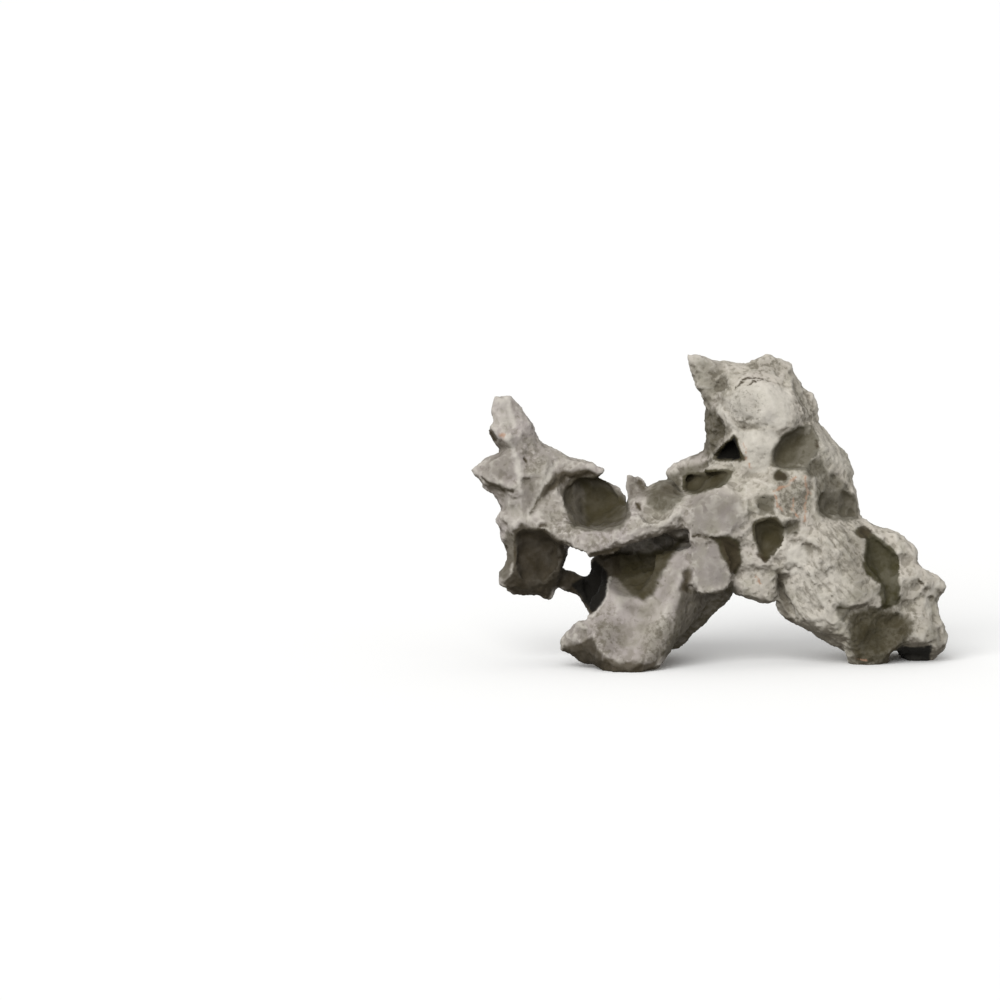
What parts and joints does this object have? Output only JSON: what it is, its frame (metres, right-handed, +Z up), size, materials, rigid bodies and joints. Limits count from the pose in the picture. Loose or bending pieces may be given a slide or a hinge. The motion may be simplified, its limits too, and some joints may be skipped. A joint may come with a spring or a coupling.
{
  "type": "tsingy rock",
  "caption": "Loose piece of grey karst limestone with scalloped hollows, a pierced side arm, a tower and spread feet, for an aquarium or terrarium.",
  "frame": {"origin": "on the floor, under the middle of the stone's bounding box", "axes": "+X to the right as seen from the front, +Y to the back, +Z up from the feet"},
  "size_m": [0.2017, 0.0744, 0.1305],
  "materials": {
    "limestone": "dry weathered limestone, matt"
  },
  "bodies": {
    "root": {"rock": "limestone"}
  },
  "joints": []
}
